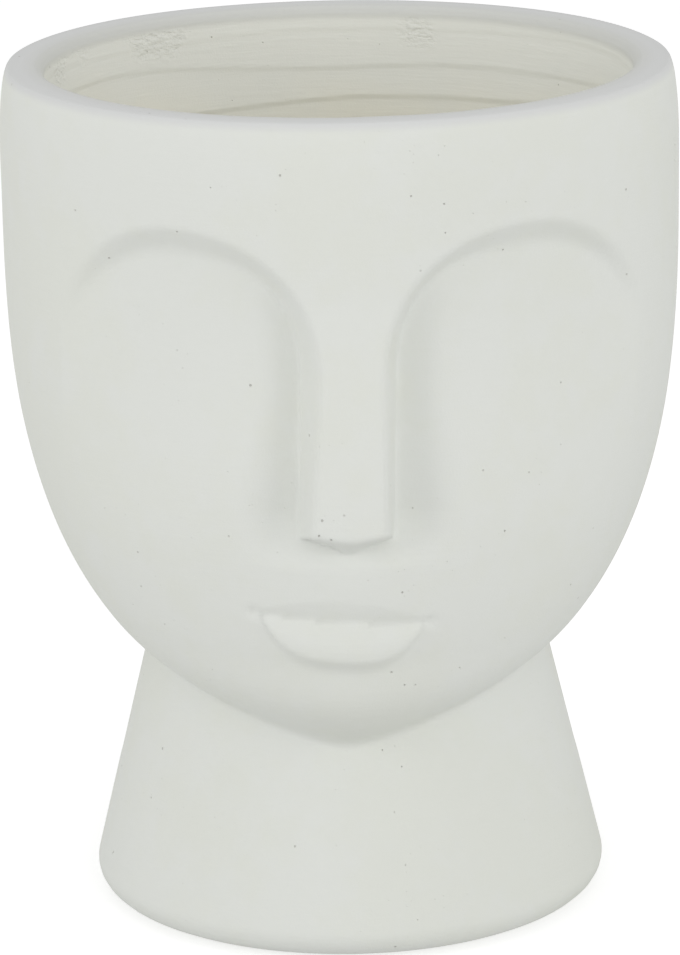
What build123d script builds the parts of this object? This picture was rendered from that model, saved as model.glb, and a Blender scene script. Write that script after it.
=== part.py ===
from build123d import *
import math
import os

# A planter in the form of a head on a flared neck, cast in one piece, with a
# rubber drain plug and four stick-on feet. Millimetres, +Z up. The face looks
# along -Y, and the origin is the centre of the circle that it stands on.

# Pot
pot_height = 300.0  # foot ring to rim
head_radius = 118.4  # outside, where it is widest
wall = 15.5
rim_round = 3.7  # how far the outside of the rim draws in as it rounds over
rim_shoulder = 30.0  # height over which it does so
rim_inner_round = 3.0  # radius of the rim's inner edge
straight_wall = 52.5  # from the rim down to where the curves of the sides and front start
head_depth = 175.5  # from there down to where the curve of the sides would close
chin_drop = 7.0  # the curve of the front closes this much lower
side_power = 2.57  # 2 is an ellipse, more is squarer
front_power = 3.76
chin_swell = 3.0  # how far the chin stands out of the curve of the front
chin_swell_drop = 204.0  # below the rim
chin_swell_reach = 18.0  # up and down from there
jaw_power = 1.8  # seen from above, the front is an ellipse at 2 and comes to a point under it
jaw_drop = 191.0  # below the rim, where the front starts to draw in to the chin
jaw_height = 30.0  # height over which it does so
throat_radius = 71.2  # neck, where it meets the sides of the head
base_radius = 93.7  # neck, at the foot
foot_round = 8.3
foot_ring = 15.7  # width of the ring at the foot, round a shallow recess
floor_thickness = 12.0
recess_depth = 2.0
floor_round = 6.0  # between the floor and the inside of the neck
drain_radius = 8.0

# Face, with heights measured down from the rim
face_shift = 3.2  # its centre line is this far towards +X at the eyes
face_lean = 2.0  # degrees that the nose leans towards +X
brow_drop = 36.8
eye_drop = 86.0  # where the brow's curve has come upright
eye_spacing = 120.0  # between the centres of the eyes
eye_width = 101.4
brow_power = 3.7
brow_slope = 1.5  # how far the hollow's upper edge slopes down for each millimetre of depth
eye_side_slope = 0.7  # the same for its upright sides
eye_depth = 7.2  # of the eye's hollow
eye_fade_top = 66.0  # where the hollow starts to die out
eye_fade = 85.0  # height over which it dies out, down to the cheek
eye_outer_end = 98.0  # where it dies out sideways, from the centre line
groove_depth = 9.5  # beside the nose
groove_foot = 15.5  # from the centre line to the deepest part
groove_width = 18.0
groove_end = 152.0
groove_end_length = 22.0
skin_clearance = 1.0  # how far the hollow's floor stands clear of the head around it
bridge_drop = 60.0  # where the nose starts to stand out
bridge_sink = 0.5  # how far the ends of the nose start below the skin
nose_tip_drop = 139.0
nose_width = 20.6  # at the bridge
nose_tip_width = 23.6
nose_projection = 7.3
nose_side_slope = 0.5  # widening towards the face for each millimetre of depth
nose_underside = 5.4  # height of the slope under the tip
nose_round = 1.5
mouth_drop = 171.5
mouth_shift = -1.7
mouth_tilt = 3.9  # degrees, lower towards +X
mouth_width = 59.6
upper_lip_height = 8.5
upper_lip_projection = 1.0
lower_lip_height = 17.0
lower_lip_projection = 3.6

# Drain plug
plug_clearance = 0.1
plug_flange_radius = 14.0
plug_flange_thickness = 2.0
plug_tip = 1.5  # stands up this far past the floor
plug_chamfer = 1.0
plug_edge_round = 0.6
grip_radius = 10.0  # finger recess in the underside of the flange
grip_depth = 1.2
grip_bar = 3.0  # width of the bar left across it

# Foot pads
pad_radius = 9.0
pad_edge_round = 0.8
pad_stand = 1.0  # how far they stand out below the foot ring
pad_inset = 16.0  # from the recess's edge to the centre of each pad

# Places that follow from the sizes above
foot_z = pad_stand
recess_z = foot_z + recess_depth
floor_z = recess_z + floor_thickness
recess_radius = base_radius - foot_ring
pad_circle = recess_radius - pad_inset
rim_z = foot_z + pot_height
widest_z = rim_z - straight_wall
front_depth = head_depth + chin_drop
eye_z = rim_z - eye_drop
mouth_z = rim_z - mouth_drop
bowl_radius = head_radius - wall
bowl_depth = head_depth - wall
bury = 3.0  # how far joined solids run into each other and cutters run past
skin_end_radius = throat_radius - 30.0  # the head's skin ends here, under the neck


def curve_radius(z, radius, depth, power):
    """Radius of the curve at a height, for a curve that is upright at widest_z."""
    share = min(max(widest_z - z, 0.0) / depth, 1.0)
    return radius * (1 - share**power) ** (1 / power)


def curve_height(at_radius, radius, depth, power):
    """Height at which the curve has that radius."""
    return widest_z - depth * (1 - (at_radius / radius) ** power) ** (1 / power)


throat_z = curve_height(throat_radius, head_radius, head_depth, side_power)
neck_slope = (throat_radius - base_radius) / (throat_z - foot_z)


def neck_radius(z):
    return base_radius + neck_slope * (z - foot_z)


def smooth(share):
    share = min(max(share, 0.0), 1.0)
    return share * share * (3 - 2 * share)


def front_middle(z):
    """Distance from the axis to the middle of the front, with its chin."""
    chin = smooth(1 - abs(rim_z - chin_swell_drop - z) / chin_swell_reach)
    return curve_radius(z, head_radius, front_depth, front_power) + chin_swell * chin


def front_radius(x, z):
    """How far the plain face is from the axis, looking at it from the front."""
    side = curve_radius(z, head_radius, head_depth, side_power)
    return front_middle(z) * math.sqrt(max(1 - (x / side) ** 2, 0.0))


def head_point(angle, z, inset, sunk):
    """A point of the head's skin. The angle is 0 at the front, positive to +X."""
    side = max(curve_radius(z, head_radius, head_depth, side_power), skin_end_radius)
    front = side
    power = 2.0
    if math.cos(angle) > 0:
        front = front_middle(z)
        power -= (2 - jaw_power) * smooth((rim_z - jaw_drop - z) / jaw_height)
    sideways = abs(math.sin(angle) / side) ** power
    forwards = abs(math.cos(angle) / front) ** power
    radius = (sideways + forwards) ** (-1 / power) - inset
    radius -= sunk(radius, angle, z)
    return (radius * math.sin(angle), -radius * math.cos(angle), z)


def make_head(sunk):
    """The head with its rounded rim, sunk by a depth that varies over it."""
    columns = 48
    crowding = 0.45  # how much closer the columns stand at the face than they would
    rows = 32
    rounding_rows = 9
    bottom_z = min(
        curve_height(skin_end_radius, head_radius, head_depth, side_power),
        curve_height(skin_end_radius, head_radius, front_depth, front_power),
    )
    turns = [math.pi * (2 * i / columns - 1) for i in range(columns + 1)]
    angles = [turn - crowding * math.sin(turn) for turn in turns]
    top_z = rim_z - rim_shoulder
    levels = [(bottom_z + (top_z - bottom_z) * j / rows, 0.0) for j in range(rows)]
    for j in range(rounding_rows + 1):
        turn = math.pi / 2 * j / rounding_rows
        levels.append((top_z + rim_shoulder * math.sin(turn), rim_round * (1 - math.cos(turn))))
    grid = [[head_point(angle, z, inset, sunk) for z, inset in levels] for angle in angles]
    middle_z = (rim_z + bottom_z) / 2  # fitted about this height, the skin ends in flat edges
    centred = [[(x, y, z - middle_z) for x, y, z in column] for column in grid]
    skin = Face.make_surface_from_array_of_points(centred, tol=0.02, min_deg=3, max_deg=3)
    flat_edges = [edge for edge in skin.edges() if edge.bounding_box().size.Z < 0.01]
    ends = [Face(Wire([edge])) for edge in flat_edges]
    return Pos(0, 0, middle_z) * Solid(Shell([skin] + ends))


def not_sunk(radius, angle, z):
    return 0.0


def eye_sunk(radius, angle, z):
    """Depth of the eyes' hollows, with a groove beside the nose; under 0 beyond them."""
    if math.cos(angle) <= 0:
        return -skin_clearance
    drop = rim_z - z
    across = abs(radius * math.sin(angle) - face_shift)
    outward = max(1 - (across / eye_outer_end) ** 8, 0.0) ** 2
    depth = eye_depth * outward * smooth((eye_fade_top - drop) / eye_fade + 1)
    beside = 1 - smooth((across - groove_foot) / groove_width)
    groove = beside * smooth((groove_end - drop) / groove_end_length)
    depth += (groove_depth - depth) * groove
    depth *= smooth(drop / brow_drop)
    return depth - skin_clearance * (1 - depth / groove_depth)


def eye_outline(plane, half, rise):
    """Outline of one eye's hollow: an arch on upright sides, down past the cheek."""
    arch = []
    steps = 16
    for i in range(steps + 1):
        turn = math.pi * i / steps
        side = math.copysign(abs(math.cos(turn)) ** (2 / brow_power), math.cos(turn))
        arch.append((half * side, rise * math.sin(turn) ** (2 / brow_power)))
    low = eye_drop - eye_fade_top - eye_fade - bury
    curve = Spline(*arch)
    sides = Polyline(arch[-1], (-half, low), (half, low), arch[0])
    return plane * make_face(curve + sides)


def make_eye_cutter(side):
    """A tapered arch that faces the middle of one eye, 1 for +X and -1 for -X."""
    turn = math.asin(eye_spacing / 2 / head_radius)
    toward = Vector(side * math.sin(turn), -math.cos(turn), 0)
    across = Vector(math.cos(turn), side * math.sin(turn), 0)
    edge_depth = math.sqrt(head_radius**2 - (eye_width / 2) ** 2)
    outlines = []
    for depth in (head_radius + 4 * bury, head_radius - 8 * bury):
        origin = toward * depth + Vector(face_shift, 0, eye_z)
        plane = Plane(origin=origin, x_dir=across, z_dir=toward)
        half = eye_width / 2 + (depth - edge_depth) * eye_side_slope
        rise = eye_drop - brow_drop + (depth - head_radius) * brow_slope
        outlines.append(eye_outline(plane, half, rise))
    return loft(outlines, ruled=True)


def make_nose():
    """A wedge that grows out of the bridge, with a slope under its tip."""
    tip_z = rim_z - nose_tip_drop
    back_y = -bowl_radius
    stations = [
        (rim_z - bridge_drop, nose_width, -bridge_sink),
        (tip_z, nose_tip_width, nose_projection),
        (tip_z - nose_underside, nose_tip_width, -bridge_sink),
    ]
    sections = []
    for z, width, projection in stations:
        front_y = -front_radius(0, z) - projection
        half = width / 2
        back_half = half + nose_side_slope * (back_y - front_y)
        corners = [(-back_half, back_y), (-half, front_y), (half, front_y), (back_half, back_y)]
        sections.append(Plane.XY.offset(z) * make_face(Polyline(*corners, close=True)))
    upper = loft(sections[:2], ruled=True)
    lower = loft(sections[1:], ruled=True)
    nose = upper + lower
    front_edges = nose.edges().filter_by(lambda edge: edge.center().Y < back_y - bury)
    nose = fillet([edge for edge in front_edges if edge.bounding_box().size.Z > bury], nose_round)
    pivot = Pos(face_shift, 0, eye_z)
    return pivot * Rot(0, face_lean, 0) * Pos(0, 0, -eye_z) * nose


def make_lip(height, projection, side, fullness):
    """One lip, 1 for the upper and -1 for the lower, as slices from end to end."""
    half = mouth_width / 2
    slices = []
    for share in (-0.9, -0.65, -0.3, 0.0, 0.3, 0.65, 0.9):
        half_height = height / 2 * (1 - abs(share) ** fullness)
        z = mouth_z + side * half_height
        depth = projection * math.sqrt(1 - share**2) + bury
        origin = (half * share, bury - front_radius(half * share, z), z)
        plane = Plane(origin=origin, x_dir=(0, 1, 0), z_dir=(1, 0, 0))
        slices.append(plane * Ellipse(depth, half_height))
    end_y = bury / 2 - front_radius(half, mouth_z)
    ends = [Vertex(-half, end_y, mouth_z), Vertex(half, end_y, mouth_z)]
    lip = loft([ends[0], *slices, ends[1]])
    pivot = Pos(mouth_shift, 0, mouth_z)
    return pivot * Rot(0, mouth_tilt, 0) * Pos(0, 0, -mouth_z) * lip


def axis_section(*corners):
    """A face in the XZ plane through the axis, from its (radius, height) corners."""
    return make_face(Plane.XZ * Polyline(*corners, close=True))


def make_neck():
    """The flared neck with its rounded foot and the recess of its underside."""
    top_z = throat_z + 4 * bury
    section = axis_section(
        (0, recess_z),
        (recess_radius, recess_z),
        (recess_radius, foot_z),
        (base_radius, foot_z),
        (neck_radius(top_z), top_z),
        (0, top_z),
    )
    foot = section.vertices().sort_by(Axis.X)[-1]
    return revolve(fillet(foot, foot_round), Axis.Z)


def make_neck_space():
    """The inside of the neck: a flared well down to the floor."""
    core_radius = throat_radius - wall
    top_z = curve_height(core_radius, bowl_radius, bowl_depth, side_power) + bury
    section = axis_section(
        (0, floor_z),
        (neck_radius(floor_z) - wall, floor_z),
        (neck_radius(top_z) - wall, top_z),
        (0, top_z),
    )
    corner = section.vertices().sort_by(Axis.X)[-1]
    return revolve(fillet(corner, floor_round), Axis.Z)


def make_bowl_space():
    """The inside of the head, a wall's thickness in, flaring out over the rim's edge."""
    low_radius = throat_radius - wall - 3 * bury
    low_z = curve_height(low_radius, bowl_radius, bowl_depth, side_power)
    steps = 12
    curve = []
    for i in range(steps + 1):
        z = widest_z - (widest_z - low_z) * math.cos(math.pi / 2 * i / steps)
        curve.append((curve_radius(z, bowl_radius, bowl_depth, side_power), z))
    flare_radius = bowl_radius + rim_inner_round
    flare_z = rim_z - rim_inner_round
    diagonal = rim_inner_round * math.sqrt(0.5)
    outline = [
        Line((0, low_z), curve[0]),
        Spline(*curve),
        Line(curve[-1], (bowl_radius, flare_z)),
        ThreePointArc(
            (bowl_radius, flare_z),
            (flare_radius - diagonal, flare_z + diagonal),
            (flare_radius, rim_z),
        ),
        Polyline((flare_radius, rim_z), (flare_radius, rim_z + bury), (0, rim_z + bury), (0, low_z)),
    ]
    return revolve(make_face(Plane.XZ * (Curve() + outline)), Axis.Z)


def make_pot():
    head = make_head(not_sunk)
    eye_floor = make_head(eye_sunk)
    for side in (1, -1):
        head -= make_eye_cutter(side) - eye_floor
    head += make_nose()
    head += make_lip(upper_lip_height, upper_lip_projection, 1, 2.0)
    head += make_lip(lower_lip_height, lower_lip_projection, -1, 2.6)
    pot = head + make_neck()
    pot -= make_neck_space()
    pot -= make_bowl_space()
    return pot - Pos(0, 0, recess_z) * Cylinder(drain_radius, 2 * (floor_thickness + bury))


def make_plug():
    """A rubber plug that is pushed up from below, with its flange in the recess."""
    stem_length = floor_thickness + plug_tip
    stem = Pos(0, 0, recess_z + stem_length / 2) * Cylinder(
        drain_radius - plug_clearance, stem_length
    )
    stem = chamfer(stem.edges().sort_by(Axis.Z)[-1], plug_chamfer)
    flange = Pos(0, 0, recess_z - plug_flange_thickness / 2) * Cylinder(
        plug_flange_radius, plug_flange_thickness
    )
    flange = fillet(flange.edges().sort_by(Axis.Z)[0], plug_edge_round)
    bar = Box(2 * plug_flange_radius, grip_bar, 2 * grip_depth)
    grip = Cylinder(grip_radius, 2 * grip_depth) - bar
    return stem + flange - Pos(0, 0, recess_z - plug_flange_thickness) * grip


def make_pad(turn):
    """A round rubber pad stuck to the top of the recess, at an angle from +X."""
    x = pad_circle * math.cos(math.radians(turn))
    y = pad_circle * math.sin(math.radians(turn))
    pad = Pos(x, y, recess_z / 2) * Cylinder(pad_radius, recess_z)
    return fillet(pad.edges().sort_by(Axis.Z)[0], pad_edge_round)


parts = {
    "pot_body": make_pot(),
    "drain_plug": make_plug(),
    "foot_pad_back_right": make_pad(45),
    "foot_pad_back_left": make_pad(135),
    "foot_pad_front_left": make_pad(225),
    "foot_pad_front_right": make_pad(315),
}
os.makedirs("parts", exist_ok=True)
for name, solid in parts.items():
    export_step(solid, f"parts/{name}.step")
    print(name, round(solid.volume), "mm3")
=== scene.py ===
import bpy
import math
from functools import lru_cache
from mathutils import Matrix, Vector, noise


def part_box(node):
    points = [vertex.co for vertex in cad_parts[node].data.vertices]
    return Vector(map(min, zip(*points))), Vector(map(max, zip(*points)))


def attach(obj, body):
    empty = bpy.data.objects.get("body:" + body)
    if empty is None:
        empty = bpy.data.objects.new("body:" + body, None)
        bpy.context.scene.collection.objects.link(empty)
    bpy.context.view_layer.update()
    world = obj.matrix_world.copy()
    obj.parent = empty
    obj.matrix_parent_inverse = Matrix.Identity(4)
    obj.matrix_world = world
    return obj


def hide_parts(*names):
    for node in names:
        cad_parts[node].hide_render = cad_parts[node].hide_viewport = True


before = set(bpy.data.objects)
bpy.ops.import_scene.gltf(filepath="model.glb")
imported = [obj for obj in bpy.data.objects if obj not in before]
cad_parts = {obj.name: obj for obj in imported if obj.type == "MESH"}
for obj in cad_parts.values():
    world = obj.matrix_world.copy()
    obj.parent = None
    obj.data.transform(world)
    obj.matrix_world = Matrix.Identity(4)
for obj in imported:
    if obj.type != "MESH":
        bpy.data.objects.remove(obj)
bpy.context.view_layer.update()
print("frame loaded:", ", ".join(sorted(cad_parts)))


# ---- small helpers for modelling

def deselectAll():
    if bpy.context.object and bpy.context.object.mode != "OBJECT":
        bpy.ops.object.mode_set(mode="OBJECT")
    bpy.ops.object.select_all(action="DESELECT")


def named(name):
    # the object that an operator has just added
    made = bpy.context.object
    made.name = name
    made.data.name = name
    return made


def spaced(start, end, step):
    # evenly spaced values from start up to, but not including, end
    count = max(round(abs(end - start) / step), 1)
    return [start + (end - start) * i / count for i in range(count)]


def smooth(share):
    share = min(max(share, 0.0), 1.0)
    return share * share * (3 - 2 * share)


def roundedCorner(before, corner, after, radius, steps):
    # points of the arc that rounds one corner of an outline
    before, corner, after = Vector(before), Vector(corner), Vector(after)
    toBefore = (before - corner).normalized()
    toAfter = (after - corner).normalized()
    half = toBefore.angle(toAfter) / 2
    middle = corner + (toBefore + toAfter).normalized() * radius / math.sin(half)
    first = corner + toBefore * radius / math.tan(half) - middle
    last = corner + toAfter * radius / math.tan(half) - middle
    arms = [first.lerp(last, i / steps).normalized() for i in range(steps + 1)]
    return [tuple(middle + arm * radius) for arm in arms]


def closeMesh(made, mergeGap=1e-6):
    # doubles merged, faces outwards, everything smooth
    deselectAll()
    made.select_set(True)
    bpy.context.view_layer.objects.active = made
    bpy.ops.object.mode_set(mode="EDIT")
    bpy.ops.mesh.select_all(action="SELECT")
    bpy.ops.mesh.remove_doubles(threshold=mergeGap)
    bpy.ops.mesh.normals_make_consistent(inside=False)
    bpy.ops.object.mode_set(mode="OBJECT")
    bpy.ops.object.shade_smooth()


# ---- the pot: one casting, spun from the section of its wall

potLow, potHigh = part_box("pot_body")

pot = {
    "headRadius": 0.1184,
    "wall": 0.0155,
    "rimRound": 0.0037,
    "rimShoulder": 0.030,
    "rimInnerRound": 0.003,
    "straightWall": 0.0525,
    "headDepth": 0.1755,
    "chinDrop": 0.007,
    "sidePower": 2.57,
    "frontPower": 3.76,
    "chinSwell": 0.003,
    "chinSwellDrop": 0.206,
    "chinSwellReach": 0.019,
    "jawPower": 1.8,
    "jawDrop": 0.191,
    "jawHeight": 0.030,
    "throatRadius": 0.0712,
    "baseRadius": 0.0937,
    "footRound": 0.0083,
    "floorThickness": 0.012,
    "floorRound": 0.006,
    "recessRadius": 0.078,
    "recessDepth": 0.002,
    "drainRadius": 0.008,
    "edgeRound": 0.0006,
    "jawBlendSide": 0.0010,
    "jawBlendFront": 0.0060,
    "columns": 320,
    "frontCrowding": 0.55,  # how much closer the columns stand at the face
    "wobble": 0.00025,
    "wobbleScale": 22,
    "insideWobble": 3,  # times the outside's
    "rimWobble": 1.2,
}

# how far apart the rows of the pot's mesh stand
rows = {
    "underside": 0.02,
    "neck": 0.0045,
    "jaw": 0.0011,
    "lowerFace": 0.0009,
    "upperFace": 0.00125,
    "straightInside": 0.0009,
    "bowl": 0.005,
    "well": 0.008,
    "floor": 0.012,
}
jawBand = 0.016  # close rows above and below the throat
tipBand = 0.01  # close rows above the nose's tip
wellBand = 0.03  # inside, above the throat
wellFoot = 0.008  # lowest row inside, above the floor
belowRim = 0.0008  # from the rim's inner round to the first row under it
cornerMargin = 0.002  # from a rounded corner to the next row
ringMargin = 0.0025  # the same on the foot ring
floorMargin = 0.01  # the same at the edge of the floor
jawReach = 0.045  # how far the rows beside the jaw move with it
outsideDepth = 0.0005  # depth under the plain outside of what counts as outside
insideDepth = 0.009  # and as inside
rimMiddle = 0.0085  # depth at which the rim's finish changes to the inside's
rimMiddleWidth = 0.004
hairGap = 0.001  # between heights that are told apart
jawSearch = (0.03, 0.01)  # how far under and over the throat the jaw is looked for
lapFoot = 0.02  # the laps stop this far above the floor
wobbleFade = 0.01  # the inside's waviness grows over this height, down from the rim

face = {
    "shift": 0.0032,
    "lean": math.radians(2.0),
    "eyeDrop": 0.086,
    "browDrop": 0.0368,
    "browPeak": 0.060,  # from the face's centre line
    "browInner": 0.0495,
    "browOuter": 0.038,
    "browPower": 2.1,
    "browSlope": 0.80,  # depth for each metre down
    "eyeDepth": 0.0072,
    "eyeFadeTop": 0.066,  # drops below the rim
    "eyeFadeEnd": 0.151,
    "outerFadePower": 8,
    "browRound": 0.0009,
    "hollowBlend": 0.0008,
    "hollowBlendAtBrow": 0.0015,  # added round the arch
    "blendDepth": 0.002,  # of the hollow where the blend is whole
    "leastBlend": 0.00001,
    "bridgeDrop": 0.060,
    "bridgePower": 1.2,
    "noseTipDrop": 0.1376,
    "tipBulge": 0.0025,
    "tipHalfWidth": 0.014,
    "tipRound": 0.0014,
    "noseWiden": 0.0011,
    "noseProjection": 0.0073,
    "noseUnderslope": 2.6,
    "noseNotch": 1.1,  # gentler by this in the middle
    "noseNotchReach": 0.0050,
    "flankSlope": 1.75,
    "flankSteeper": 1.0,  # added towards the tip
    "flankSkew": 0.2,
    "grooveDepth": 0.0085,
    "grooveDeeper": 0.0025,  # added beside the bridge
    "grooveDeeperDrop": 0.116,
    "grooveDeeperLength": 0.035,
    "grooveStart": 0.036,
    "grooveStartLength": 0.025,
    "groovePower": 1.3,
    "grooveFoot": 0.0155,
    "grooveWidth": 0.020,
    "grooveFlare": 0.007,  # added to the width at the lower end
    "grooveFlareDrop": 0.090,
    "grooveFlareLength": 0.050,
    "grooveEnd": 0.153,
    "grooveEndLength": 0.022,
    "philtrumDepth": 0.0012,
    "philtrumReach": 0.010,
    "philtrumStart": 0.004,
    "philtrumLength": 0.016,
    "mouthDrop": 0.1705,
    "mouthShift": -0.0017,
    "mouthTilt": math.radians(3.9),
    "mouthSag": 0.0015,
    "mouthHalfWidth": 0.0298,
    "upperLipHeight": 0.0085,
    "upperLipDepth": 0.0024,
    "upperLipPower": 1.3,
    "lowerLipHeight": 0.0192,
    "lowerLipPower": 3.6,
    "lowerLip": 0.0034,
    "lipLineShare": 0.6,  # of the upper lip's depth, at the top of the lower lip
    "lipEdge": 0.0005,
    "lowerLipShare": 0.93,  # of the upper lip's width
    "lipCrest": 0.68,
    "dimpleDepth": 0.0011,
    "dimpleReach": 0.0022,
}

footZ = potLow.z
rimZ = potHigh.z
recessZ = footZ + pot["recessDepth"]
floorZ = recessZ + pot["floorThickness"]
widestZ = rimZ - pot["straightWall"]
shoulderZ = rimZ - pot["rimShoulder"]
flareZ = rimZ - pot["rimInnerRound"]
eyeZ = rimZ - face["eyeDrop"]


def curveRadius(z, radius, depth, power):
    share = min(max(widestZ - z, 0.0) / depth, 0.9999)
    return radius * (1 - share**power) ** (1 / power)


throatShare = (1 - (pot["throatRadius"] / pot["headRadius"]) ** pot["sidePower"]) ** (1 / pot["sidePower"])
throatZ = widestZ - pot["headDepth"] * throatShare
neckSlope = (pot["throatRadius"] - pot["baseRadius"]) / (throatZ - footZ)


def neckAt(z):
    return pot["baseRadius"] + neckSlope * (z - footZ)


def headAt(angle, z):
    # the plain head, without its face; the angle is 0 at the front
    side = curveRadius(z, pot["headRadius"], pot["headDepth"], pot["sidePower"])
    front = side
    power = 2.0
    if math.cos(angle) > 0:
        frontDepth = pot["headDepth"] + pot["chinDrop"]
        front = curveRadius(z, pot["headRadius"], frontDepth, pot["frontPower"])
        front += pot["chinSwell"] * smooth(1 - abs(rimZ - pot["chinSwellDrop"] - z) / pot["chinSwellReach"])
        power -= (2 - pot["jawPower"]) * smooth((rimZ - pot["jawDrop"] - z) / pot["jawHeight"])
    reach = abs(math.sin(angle) / side) ** power + abs(math.cos(angle) / front) ** power
    up = min(max(z - shoulderZ, 0.0) / pot["rimShoulder"], 1.0)
    return reach ** (-1 / power) - pot["rimRound"] * (1 - math.sqrt(1 - up * up))


def outerAt(angle, z):
    # head and neck together, blended softly under the chin and sharply at the sides
    neck, head = neckAt(z), headAt(angle, z)
    blend = pot["jawBlendSide"] + pot["jawBlendFront"] * max(math.cos(angle), 0.0) ** 3
    overlap = max(blend - abs(neck - head), 0.0) / blend
    return max(neck, head) + overlap * overlap * blend / 4


@lru_cache(maxsize=None)
def jawHeight(angle):
    # where the head comes out of the neck
    low, high = throatZ - jawSearch[0], throatZ + jawSearch[1]
    halvings = 30
    for i in range(halvings):
        middle = (low + high) / 2
        if headAt(angle, middle) < neckAt(middle):
            low = middle
        else:
            high = middle
    return middle


def innerAt(z):
    bowl = curveRadius(z, pot["headRadius"] - pot["wall"], pot["headDepth"] - pot["wall"], pot["sidePower"])
    return max(bowl, neckAt(z) - pot["wall"])


def potSection():
    # the wall's section as (radius, height), from the drain hole out, up, over the rim and down inside
    drain, recess, edge = pot["drainRadius"], pot["recessRadius"], pot["edgeRound"]
    points = roundedCorner((drain, floorZ), (drain, recessZ), (recess, recessZ), edge, 2)
    ends = (drain + cornerMargin, recess - cornerMargin)
    points += [(r, recessZ) for r in spaced(*ends, rows["underside"])]
    points += roundedCorner((drain, recessZ), (recess, recessZ), (recess, footZ), edge, 3)
    points += roundedCorner((recess, recessZ), (recess, footZ), (neckAt(footZ), footZ), edge, 2)
    points += [(recess + ringMargin, footZ)]
    points += roundedCorner(
        (recess, footZ), (neckAt(footZ), footZ), (neckAt(throatZ), throatZ), pot["footRound"], 8
    )
    tipZ = rimZ - face["noseTipDrop"] + tipBand
    heights = spaced(points[-1][1] + cornerMargin, throatZ - jawBand, rows["neck"])
    heights += spaced(throatZ - jawBand, throatZ + jawBand, rows["jaw"])
    heights += spaced(throatZ + jawBand, tipZ, rows["lowerFace"])
    heights += spaced(tipZ, shoulderZ, rows["upperFace"])
    steps = 12
    turns = [math.pi / 2 * i / steps for i in range(steps + 1)]
    heights += [shoulderZ + pot["rimShoulder"] * math.sin(turn) for turn in turns]
    points += [(outerAt(math.pi, z), z) for z in heights]
    top = points[-1]
    inner = (innerAt(rimZ), rimZ)
    points += [((top[0] + inner[0] + pot["rimInnerRound"]) / 2, rimZ)]
    points += roundedCorner(top, inner, (inner[0], flareZ), pot["rimInnerRound"], 6)
    heights = spaced(flareZ - belowRim, widestZ, rows["straightInside"])
    heights += spaced(widestZ, throatZ + wellBand, rows["bowl"])
    heights += spaced(throatZ + wellBand, floorZ + wellFoot, rows["well"])
    points += [(innerAt(z), z) for z in heights]
    wallFoot = (innerAt(floorZ), floorZ)
    points += roundedCorner(
        (innerAt(throatZ), throatZ), wallFoot, (drain, floorZ), pot["floorRound"], 5
    )
    ends = (wallFoot[0] - floorMargin, drain + cornerMargin)
    points += [(r, floorZ) for r in spaced(*ends, rows["floor"])]
    points += roundedCorner(wallFoot, (drain, floorZ), (drain, recessZ), edge, 2)
    return points


def softer(value, other, reach):
    # the larger of the two, blended where they are within reach of each other
    overlap = max(reach - abs(value - other), 0.0) / reach
    return max(value, other) + overlap * overlap * reach / 4


def eyeEdge(across, z):
    # how far inside the edge of the eye's hollow, and how much of the way up round its arch
    lift = max(z - eyeZ, 0.0) / (face["eyeDrop"] - face["browDrop"])
    if lift == 0:
        down = min((eyeZ - z) / (face["noseTipDrop"] - face["eyeDrop"]), 1.0)
        return across - face["browPeak"] + face["browInner"] - face["noseWiden"] * down, 0.0
    beside = across - face["browPeak"]
    arm = face["browOuter"] if beside > 0 else face["browInner"]
    power = face["browPower"]
    sideways, upward = abs(beside / arm) ** power, lift**power
    reach = (sideways + upward) ** (1 / power)
    upShare = upward / (sideways + upward)
    size = arm + (face["eyeDrop"] - face["browDrop"] - arm) * upShare
    return (1 - reach) * size, upShare


def hollowAt(across, z):
    # depth of the eye's hollow, with the groove beside the nose
    drop = rimZ - z
    outerEnd = face["browPeak"] + face["browOuter"]
    outward = max(1 - (across / outerEnd) ** face["outerFadePower"], 0.0)
    fade = smooth((face["eyeFadeEnd"] - drop) / (face["eyeFadeEnd"] - face["eyeFadeTop"]))
    depth = face["eyeDepth"] * outward * fade
    flare = smooth((drop - face["grooveFlareDrop"]) / face["grooveFlareLength"])
    width = face["grooveWidth"] + face["grooveFlare"] * flare
    beside = (1 - smooth((across - face["grooveFoot"]) / width)) ** face["groovePower"]
    groove = beside * smooth((face["grooveEnd"] - drop) / face["grooveEndLength"])
    deeper = smooth((face["grooveDeeperDrop"] - drop) / face["grooveDeeperLength"])
    deepest = face["grooveDepth"] + face["grooveDeeper"] * deeper
    groove *= smooth((drop - face["grooveStart"]) / face["grooveStartLength"])
    return depth + (deepest - depth) * groove


def lips(x, z):
    across = (x - face["mouthShift"]) / face["mouthHalfWidth"]
    line = rimZ - face["mouthDrop"] - (x - face["mouthShift"]) * math.tan(face["mouthTilt"])
    away = math.hypot((1 - abs(across)) * face["mouthHalfWidth"], z - line)
    dimple = face["dimpleDepth"] * math.exp(-((away / face["dimpleReach"]) ** 2))
    if abs(across) >= 1:
        return -dimple
    above = z - line + face["mouthSag"] * (1 - across**2)
    ends = math.sqrt(1 - across**2)
    if above >= 0:
        share = above / (face["upperLipHeight"] * (1 - across**2) + face["lipEdge"])
        return -face["upperLipDepth"] * ends * max(1 - share, 0.0) ** face["upperLipPower"] - dimple
    lower = min(abs(across) / face["lowerLipShare"], 1.0)
    share = -above / (face["lowerLipHeight"] * (1 - lower ** face["lowerLipPower"]) + face["lipEdge"])
    crest = face["lipCrest"]
    rise = math.sin(math.pi / 2 * min(share / crest, 1.0))
    fall = math.sin(math.pi / 2 * min(max(share - crest, 0.0) / (1 - crest), 1.0))
    depth = face["upperLipDepth"] * face["lipLineShare"] * (1 - rise)
    return math.sqrt(1 - lower**2) * (face["lowerLip"] * (rise - fall) - depth) - dimple


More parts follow.
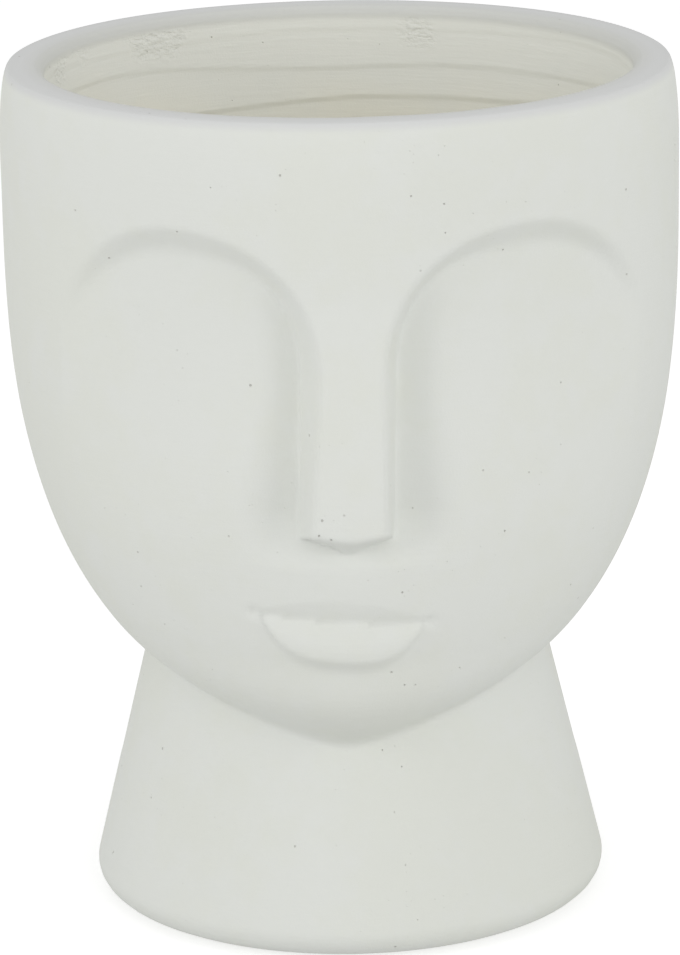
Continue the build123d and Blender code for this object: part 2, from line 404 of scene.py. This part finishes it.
def relief(x, z):
    # how far the face stands out of the plain head
    offCentre = x - face["shift"] - min(z - eyeZ, 0.0) * math.tan(face["lean"])
    across = abs(offCentre)
    gap, upShare = eyeEdge(across, z)
    down = max(rimZ - face["bridgeDrop"] - z, 0.0) / (face["noseTipDrop"] - face["bridgeDrop"])
    out = face["noseProjection"] * down ** face["bridgePower"] if across < face["browPeak"] else 0.0
    flank = face["flankSlope"] + face["flankSteeper"] * min(down, 1.0) ** 2
    flank *= 1 + math.copysign(face["flankSkew"], offCentre)
    slope = flank + (face["browSlope"] - flank) * upShare
    terrace = out - slope * softer(gap, 0.0, face["browRound"])
    bulge = face["tipBulge"] * max(1 - (across / face["tipHalfWidth"]) ** 2, 0.0)
    tip = rimZ - face["noseTipDrop"] - bulge
    under = softer(tip - z, 0.0, face["tipRound"])
    notch = math.exp(-((across / face["noseNotchReach"]) ** 2))
    underslope = face["noseUnderslope"] - face["noseNotch"] * notch
    terrace = min(terrace, out - underslope * under - (out - face["noseProjection"]) * (down > 1))
    beneath = smooth((tip - z) / face["philtrumStart"])
    beneath *= smooth(1 - (tip - z - face["philtrumStart"]) / face["philtrumLength"])
    philtrum = face["philtrumDepth"] * math.exp(-((across / face["philtrumReach"]) ** 2)) * beneath
    ground = -hollowAt(across, z) - philtrum
    # the blend dies out with the hollow, so that it adds nothing beyond it
    blend = face["hollowBlend"] + face["hollowBlendAtBrow"] * upShare
    reach = blend * smooth(-ground / face["blendDepth"]) + face["leastBlend"]
    return softer(terrace, ground, reach) + lips(x, z)


# laps left by hand-pressing the inside: height below the rim, wave, turn of the wave, thickness
laps = [
    (0.0085, 0.0012, 0.4, 0.00022),
    (0.0200, 0.0026, 1.9, 0.00045),
    (0.0330, 0.0030, 0.9, 0.00070),
    (0.0430, 0.0020, 2.6, 0.00055),
    (0.0560, 0.0025, 0.2, 0.00050),
    (0.0740, 0.0030, 3.5, 0.00045),
    (0.0950, 0.0030, 1.1, 0.00055),
    (0.1200, 0.0030, 5.0, 0.00045),
    (0.1500, 0.0030, 2.2, 0.00050),
    (0.1900, 0.0030, 4.1, 0.00045),
    (0.2300, 0.0030, 0.7, 0.00045),
]
lapEdge = 0.0010
lapTaper = 0.014


def lapAt(angle, z):
    # each lap is thick at its lower edge and tapers off upwards
    total = 0.0
    for drop, wave, turn, thickness in laps:
        above = z - rimZ + drop + wave * math.sin(2 * angle + turn)
        above += wave * math.sin(5 * angle + 2 * turn) / 3
        if above > -lapEdge:
            edge = smooth(above / lapEdge + 0.5)
            total += thickness * edge * math.exp(-max(above, 0.0) / lapTaper)
    return total


def makePot():
    section = potSection()
    deselectAll()
    bpy.ops.mesh.primitive_circle_add(vertices=len(section), radius=pot["headRadius"])
    shell = named("potShell")
    for vertex, (radius, z) in zip(shell.data.vertices, section):
        vertex.co = (radius, 0.0, z)
    bpy.ops.object.mode_set(mode="EDIT")
    bpy.ops.mesh.select_all(action="SELECT")
    bpy.ops.mesh.spin(
        steps=pot["columns"], angle=2 * math.pi, center=(0, 0, 0), axis=(0, 0, 1), use_auto_merge=True
    )
    bpy.ops.object.mode_set(mode="OBJECT")
    closeMesh(shell)

    jawSide = jawHeight(math.pi)
    insideShare = []
    for vertex in shell.data.vertices:
        x, y, z = vertex.co
        radius = math.hypot(x, y)
        angle = math.atan2(x, -y)
        angle -= pot["frontCrowding"] * math.sin(angle)
        depth = outerAt(math.pi, z) - radius
        share = smooth((depth - rimMiddle) / rimMiddleWidth + 0.5)
        insideShare.append(share if z > recessZ + hairGap else 0.0)
        wobble = pot["wobble"] * (noise.noise(Vector((x, y, z)) * pot["wobbleScale"]) - 1) / 2
        if depth < outsideDepth and z > jawSide - jawReach:
            z += (jawHeight(round(angle, 5)) - jawSide) * smooth(1 - abs(z - jawSide) / jawReach)
            radius = outerAt(angle, z) + wobble
            if math.cos(angle) > 0 and z < shoulderZ:
                radius += relief(radius * math.sin(angle), z)
        elif depth > insideDepth and floorZ + lapFoot < z <= flareZ + hairGap:
            radius -= lapAt(angle, z) * smooth((flareZ + hairGap - z) / hairGap)
            radius += pot["insideWobble"] * wobble * smooth((flareZ - z) / wobbleFade)
        if z > flareZ:
            z += pot["rimWobble"] * wobble * smooth((z - flareZ) / pot["rimInnerRound"])
        vertex.co = (radius * math.sin(angle), -radius * math.cos(angle), z)
    shell.data.update()
    inside = shell.data.attributes.new("inside", "FLOAT", "POINT")
    inside.data.foreach_set("value", insideShare)
    closeMesh(shell)
    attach(shell, "pot")
    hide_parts("pot_body")
    return shell


# ---- shader maths

class Socket:
    # a value in a node tree, on which Python's own operators add Math nodes
    def __init__(self, tree, socket):
        self.tree = tree
        self.socket = socket

    def maths(self, operation, first, second):
        return self.tree.node("ShaderNodeMath", {"operation": operation}, {0: first, 1: second})

    def __add__(self, other):
        return self.maths("ADD", self, other)

    def __sub__(self, other):
        return self.maths("SUBTRACT", self, other)

    def __mul__(self, other):
        return self.maths("MULTIPLY", self, other)

    def __truediv__(self, other):
        return self.maths("DIVIDE", self, other)

    __radd__ = __add__

    def output(self, name):
        # another output of the same node
        return Socket(self.tree, self.socket.node.outputs[name])


class Nodes:
    def __init__(self, tree):
        self.tree = tree
        tree.nodes.clear()

    def node(self, kind, settings=None, inputs=None, output=0):
        made = self.tree.nodes.new(kind)
        for name, value in (settings or {}).items():
            setattr(made, name, value)
        for key, value in (inputs or {}).items():
            if isinstance(value, Socket):
                self.tree.links.new(value.socket, made.inputs[key])
            else:
                made.inputs[key].default_value = value
        return Socket(self, made.outputs[output] if len(made.outputs) else None)

    def noise(self, place, scale, detail=2.0, roughness=0.5):
        inputs = {"Vector": place, "Scale": scale, "Detail": detail, "Roughness": roughness}
        return self.node("ShaderNodeTexNoise", {}, inputs)

    def stretched(self, place, scale):
        return self.node("ShaderNodeMapping", {}, {"Vector": place, "Scale": scale})

    def ramp(self, value, low, high, start=0.0, end=1.0):
        # a smooth step from start to end as the value goes from low to high
        return self.node(
            "ShaderNodeMapRange",
            {"interpolation_type": "SMOOTHSTEP"},
            {"Value": value, "From Min": low, "From Max": high, "To Min": start, "To Max": end},
        )

    def blend(self, share, first, second):
        # two colours mixed
        return self.node("ShaderNodeMix", {"data_type": "RGBA"}, {0: share, 6: first, 7: second}, 2)


def srgb(red, green, blue):
    # a colour as a picture's 0 to 255 values
    def linear(part):
        part /= 255
        return part / 12.92 if part <= 0.04045 else ((part + 0.055) / 1.055) ** 2.4

    return (linear(red), linear(green), linear(blue), 1.0)


def newFinish(name):
    material = bpy.data.materials.new(name)
    material.use_nodes = True
    return material, Nodes(material.node_tree)


def surface(nodes, inputs):
    shader = nodes.node("ShaderNodeBsdfPrincipled", {}, inputs)
    nodes.node("ShaderNodeOutputMaterial", {}, {"Surface": shader})


castColours = {
    "outside": srgb(224, 226, 221),
    "outsideWarm": srgb(223, 225, 218),
    # the rim's top: its neutral grey hue is the cast's own, its darker tone is painted shade where the top
    # faces up, away from the front lamps
    "rimTopToneAndShade": srgb(214, 215, 214),
    # painted shade: a darker band just inside the rim's inner edge
    "innerEdgeShade": srgb(208, 209, 205),
    # painted light: the inside is coloured brighter than the outside, and brighter still lower down, to
    # lift its shade; the lower colour's yellow tint is the cast's own
    "insideHighPaintedLight": srgb(232, 233, 227),
    "insideLowYellowAndPaintedLight": srgb(238, 236, 224),
    # painted shade: the dark colour inside the pinholes
    "pinholeShade": srgb(150, 148, 136),
}

castHeights = {
    "grain": 0.00005,
    "strokes": 0.00006,
    "strokesInside": 0.00008,  # added to them
    "pit": 0.0003,
    "crust": 0.0011,
}

# depths under the rim between which one finish gives way to the next
castBands = {
    "rimTopToneAndShade": (0.004, 0.0005),
    "innerEdgeShade": (0.006, 0.002),
    "insideLowYellowAndPaintedLight": (0.015, 0.050),
    "crustEnd": (0.018, 0.011),
    "crustStart": (0.003, 0.006),
}


def bandShare(nodes, height, name):
    start, end = castBands[name]
    return nodes.ramp(height, rimZ - start, rimZ - end)


def pits(nodes, place, scale, rarity, gather):
    # small round pits of uneven size, closer together where gather is high
    cells = nodes.node("ShaderNodeTexVoronoi", {}, {"Vector": place, "Scale": scale, "Randomness": 1.0})
    luck = nodes.node("ShaderNodeSeparateColor", {}, {0: cells.output("Color")}, "Red")
    size = luck.output("Green") * 0.9 + 0.35
    return nodes.ramp(cells / size, 0.11, 0.04) * nodes.ramp(luck + gather * 0.35, rarity, rarity + 0.04)


def makeCastFinish():
    material, nodes = newFinish("castStone")
    place = nodes.node("ShaderNodeTexCoord", output="Object")
    height = nodes.node("ShaderNodeSeparateXYZ", {}, {0: place}, "Z")
    inside = nodes.node("ShaderNodeAttribute", {"attribute_name": "inside"}, output="Fac")

    cloud = nodes.noise(place, 16, 3.0)
    mottle = nodes.noise(place, 110, 3.0)
    grain = nodes.noise(place, 1500, 2.0)
    strokes = nodes.noise(nodes.stretched(place, (60, 60, 700)), 1.0, 3.0)
    tone = nodes.ramp(cloud + (mottle - 0.5) * 0.5, 0.35, 0.65)

    gather = nodes.ramp(nodes.noise(place, 24, 2.0), 0.45, 0.65)
    pit = pits(nodes, place, 260, 0.96, gather) + pits(nodes, place, 620, 1.02, gather) * 0.5
    crust = nodes.noise(nodes.stretched(place, (350, 350, 600)), 1.0, 4.0)
    crusty = nodes.ramp(nodes.noise(place, 26, 2.0), 0.50, 0.60) * inside
    crusty = crusty * bandShare(nodes, height, "crustEnd") * bandShare(nodes, height, "crustStart")

    outside = nodes.blend(tone, castColours["outside"], castColours["outsideWarm"])
    # painted shade on the rim's top, with its own neutral grey hue: darker than the front towards the rim
    outside = nodes.blend(bandShare(nodes, height, "rimTopToneAndShade"), outside, castColours["rimTopToneAndShade"])
    # painted light inside the bowl, brighter deeper down to lift the shade there, with the cast's own
    # yellow tint low down
    low = bandShare(nodes, height + (cloud - 0.5) * 0.05, "insideLowYellowAndPaintedLight")
    within = nodes.blend(low, castColours["insideHighPaintedLight"], castColours["insideLowYellowAndPaintedLight"])
    # painted shade: the inside drawn darker in a band just under the rim's inner round
    within = nodes.blend(bandShare(nodes, height, "innerEdgeShade"), within, castColours["innerEdgeShade"])
    colour = nodes.blend(inside, outside, within)
    # painted shade: the pits are darkened in colour as well as sunk by the bump below
    colour = nodes.blend(pit * 0.5, colour, castColours["pinholeShade"])

    strokeHeight = castHeights["strokes"] + inside * castHeights["strokesInside"]
    relief = (grain - 0.5) * castHeights["grain"] + (strokes - 0.5) * strokeHeight
    relief = relief - pit * castHeights["pit"] + (crust - 0.5) * crusty * castHeights["crust"]
    bump = nodes.node("ShaderNodeBump", {}, {"Height": relief, "Distance": 1.0, "Strength": 1.0})
    surface(
        nodes,
        {
            "Base Color": colour,
            "Roughness": 0.86 + mottle * 0.08,
            "Specular IOR Level": 0.25,
            "Normal": bump,
        },
    )
    return material


def makeRubberFinish(name, colour, dust):
    material, nodes = newFinish(name)
    place = nodes.node("ShaderNodeTexCoord", output="Object")
    cloud = nodes.noise(place, 180, 3.0)
    grain = nodes.noise(place, 2600, 2.0)
    shade = nodes.blend(nodes.ramp(cloud, 0.4, 0.7, 0.0, 0.6), colour, dust)
    bump = nodes.node("ShaderNodeBump", {}, {"Height": grain * 0.00004, "Distance": 1.0, "Strength": 1.0})
    surface(nodes, {"Base Color": shade, "Roughness": 0.62 + cloud * 0.2, "Normal": bump})
    return material


def dress(made, material):
    made.data.materials.clear()
    made.data.materials.append(material)


potShell = makePot()
dress(potShell, makeCastFinish())
print("pot:", len(potShell.data.vertices), "points,", len(potShell.data.polygons), "faces")

padFinish = makeRubberFinish("padRubber", srgb(52, 52, 54), srgb(84, 82, 78))
plugFinish = makeRubberFinish("plugRubber", srgb(38, 38, 40), srgb(66, 65, 62))
for nodeName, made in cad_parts.items():
    if nodeName.startswith("foot_pad"):
        dress(made, padFinish)
    elif nodeName == "drain_plug":
        dress(made, plugFinish)
print("rubber pieces dressed")


# ---- camera, light and floor

view = {
    "distance": 1.698,
    "pitch": math.radians(15.68),
    "roll": math.radians(0.9),
    "aim": (-0.00165, 0.0, 0.14927),
    "lens": 179.7,
}


def makeCamera():
    camera = bpy.data.objects.new("camera", bpy.data.cameras.new("camera"))
    bpy.context.scene.collection.objects.link(camera)
    bpy.context.scene.camera = camera
    camera.data.lens = view["lens"]
    camera.data.sensor_width = 36
    camera.data.clip_end = 50
    back = Vector((0, -math.cos(view["pitch"]), math.sin(view["pitch"])))
    turn = Matrix.Rotation(math.pi / 2 - view["pitch"], 4, "X") @ Matrix.Rotation(-view["roll"], 4, "Z")
    camera.matrix_world = Matrix.Translation(Vector(view["aim"]) + back * view["distance"]) @ turn


lamps = {
    # place, width, height, power in watts
    "frontLamp": ((0.5, -3.0, 1.5), 2.4, 1.6, 16),
    "rightLamp": ((2.8, -1.5, 1.2), 1.8, 1.6, 17),
    "leftLamp": ((-2.8, -1.4, 1.2), 1.8, 1.6, 21),
    "topLamp": ((0.0, 0.2, 3.0), 2.2, 2.2, 6),
}
lampAim = Vector((0, 0, 0.15))
ambient = 0.63


def makeLamp(name, place, width, height, power):
    light = bpy.data.lights.new(name, "AREA")
    light.shape = "RECTANGLE"
    light.size = width
    light.size_y = height
    light.energy = power
    lamp = bpy.data.objects.new(name, light)
    bpy.context.scene.collection.objects.link(lamp)
    lamp.location = place
    lamp.rotation_euler = (lampAim - Vector(place)).to_track_quat("-Z", "Y").to_euler()


def shownWhite(nodes):
    # 1 for the rays that show the background: straight on, in a gloss or through glass
    path = nodes.node("ShaderNodeLightPath", output="Is Camera Ray")
    either = path.maths("MAXIMUM", path, path.output("Is Glossy Ray"))
    return path.maths("MAXIMUM", either, path.output("Is Transmission Ray"))


def makeWorld():
    world = bpy.data.worlds.new("whiteStudio")
    bpy.context.scene.world = world
    world.use_nodes = True
    nodes = Nodes(world.node_tree)
    light = nodes.node("ShaderNodeBackground", {}, {"Color": (1, 1, 1, 1), "Strength": ambient})
    white = nodes.node("ShaderNodeBackground", {}, {"Color": (1, 1, 1, 1), "Strength": 1.0})
    both = nodes.node("ShaderNodeMixShader", {}, {0: shownWhite(nodes), 1: light, 2: white})
    nodes.node("ShaderNodeOutputWorld", {}, {"Surface": both})


floorRadius = 9.0
floorGlow = 0.42
# light from below comes through the floor to what stands this close to it
footLightReach = 0.007


def makeFloor():
    deselectAll()
    bpy.ops.mesh.primitive_circle_add(vertices=96, radius=floorRadius, fill_type="NGON")
    floor = named("floor")
    material, nodes = newFinish("paleFloor")
    pale = {"Base Color": (0.8, 0.8, 0.8, 1), "Roughness": 1.0}
    glow = {"Emission Color": (1, 1, 1, 1), "Emission Strength": floorGlow}
    plain = nodes.node("ShaderNodeBsdfPrincipled", {}, pale)
    lifted = nodes.node("ShaderNodeBsdfPrincipled", {}, {**pale, **glow})
    seen = nodes.node("ShaderNodeMixShader", {}, {0: shownWhite(nodes), 1: plain, 2: lifted})
    clear = nodes.node("ShaderNodeBsdfTransparent")
    below = nodes.node("ShaderNodeNewGeometry", output="Backfacing")
    path = nodes.node("ShaderNodeLightPath", output="Ray Length")
    bounced = path.maths("MAXIMUM", path.output("Is Diffuse Ray"), path.output("Is Shadow Ray"))
    close = path.maths("LESS_THAN", path, footLightReach) * bounced
    either = path.maths("MAXIMUM", below, close)
    both = nodes.node("ShaderNodeMixShader", {}, {0: either, 1: seen, 2: clear})
    nodes.node("ShaderNodeOutputMaterial", {}, {"Surface": both})
    dress(floor, material)


makeCamera()
for name, (place, width, height, power) in lamps.items():
    makeLamp(name, place, width, height, power)
makeWorld()
makeFloor()
bpy.context.scene.view_settings.view_transform = "Standard"
print("camera, light and floor are in place")
